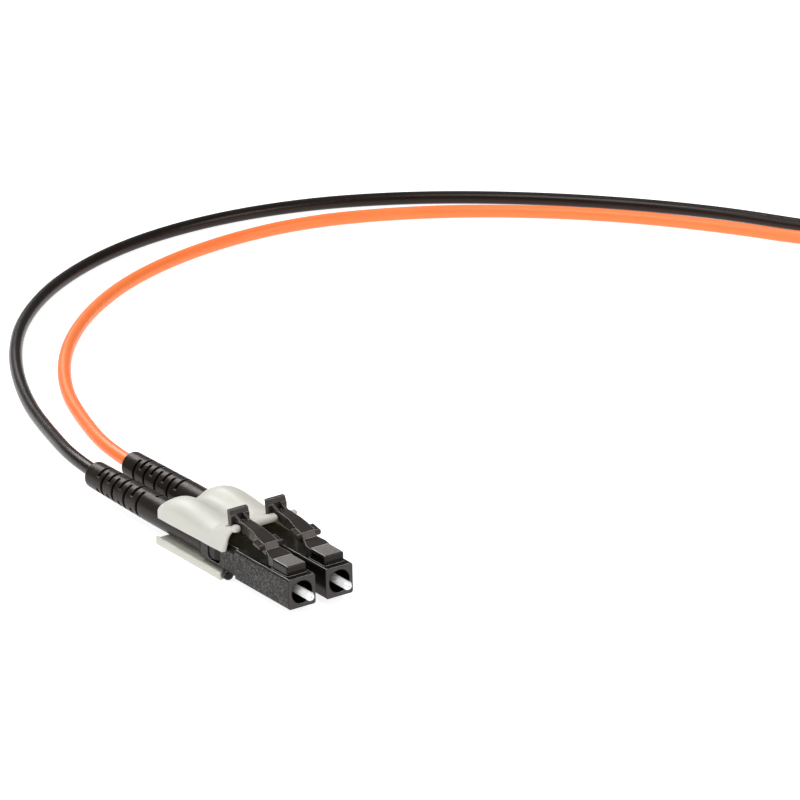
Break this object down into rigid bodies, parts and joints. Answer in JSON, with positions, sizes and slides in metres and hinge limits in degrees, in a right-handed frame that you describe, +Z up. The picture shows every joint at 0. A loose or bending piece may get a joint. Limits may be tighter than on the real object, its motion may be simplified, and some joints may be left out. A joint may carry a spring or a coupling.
{
  "type": "duplex fibre connector with cords",
  "caption": "Pair of square-nosed fibre plugs with white ferrules and thumb latches in a pale moulded clip, with slotted boots and one black and one orange cord.",
  "frame": {"origin": "under the middle of the connector without its cords, on the surface that the clip stands on", "axes": "+X the way the plugs are pushed in, +Y towards the orange cord's plug, +Z up out of the latch side"},
  "size_m": [0.1353, 0.183, 0.0133],
  "materials": {
    "plug_polymer": "fine spark-eroded texture, satin",
    "zirconia": "ground and polished white zirconia",
    "flange_metal": "turned, nickel plated",
    "spring_steel": "drawn wire",
    "fibre_buffer": "smooth extruded",
    "crimp_metal": "drawn tube",
    "boot_rubber": "soft satin",
    "cord_black": "smooth extruded PVC",
    "cord_orange": "smooth extruded PVC",
    "clip_polymer": "smooth satin moulding",
    "tie_fabric": "woven hook-and-loop strap"
  },
  "bodies": {
    "frame": {"plug_housing_near": "plug_polymer", "ferrule_spring_near": "spring_steel", "rear_body_near": "plug_polymer", "crimp_sleeve_near": "crimp_metal", "boot_near": "boot_rubber", "plug_housing_far": "plug_polymer", "ferrule_spring_far": "spring_steel", "rear_body_far": "plug_polymer", "crimp_sleeve_far": "crimp_metal", "boot_far": "boot_rubber", "cord_near": "cord_black", "cord_coil_near": "cord_black", "cord_far": "cord_orange", "cord_coil_far": "cord_orange", "duplex_clip": "clip_polymer", "coil_tie_front": "tie_fabric", "coil_tie_back": "tie_fabric"},
    "latch_near": {"latch_lever_near": "plug_polymer"},
    "ferrule_group_near": {"ferrule_near": "zirconia", "ferrule_flange_near": "flange_metal", "buffered_fibre_near": "fibre_buffer"},
    "latch_far": {"latch_lever_far": "plug_polymer"},
    "ferrule_group_far": {"ferrule_far": "zirconia", "ferrule_flange_far": "flange_metal", "buffered_fibre_far": "fibre_buffer"}
  },
  "joints": [
    {"name": "latch_press_near", "type": "hinge", "parent": "frame", "child": "latch_near", "pos_m": [0.02005, -0.00313, 0.0064], "axis": [0, 1, 0], "range_deg": [-9, 0], "stiffness_Nm_per_rad": 0.2},
    {"name": "ferrule_push_near", "type": "slide", "parent": "frame", "child": "ferrule_group_near", "axis": [1, 0, 0], "range_m": [-0.0012, 0], "stiffness_N_per_m": 1500, "deforming": ["ferrule_spring_near"]},
    {"name": "latch_press_far", "type": "hinge", "parent": "frame", "child": "latch_far", "pos_m": [0.02005, 0.00313, 0.0064], "axis": [0, 1, 0], "range_deg": [-9, 0], "stiffness_Nm_per_rad": 0.2},
    {"name": "ferrule_push_far", "type": "slide", "parent": "frame", "child": "ferrule_group_far", "axis": [1, 0, 0], "range_m": [-0.0012, 0], "stiffness_N_per_m": 1500, "deforming": ["ferrule_spring_far"]}
  ]
}
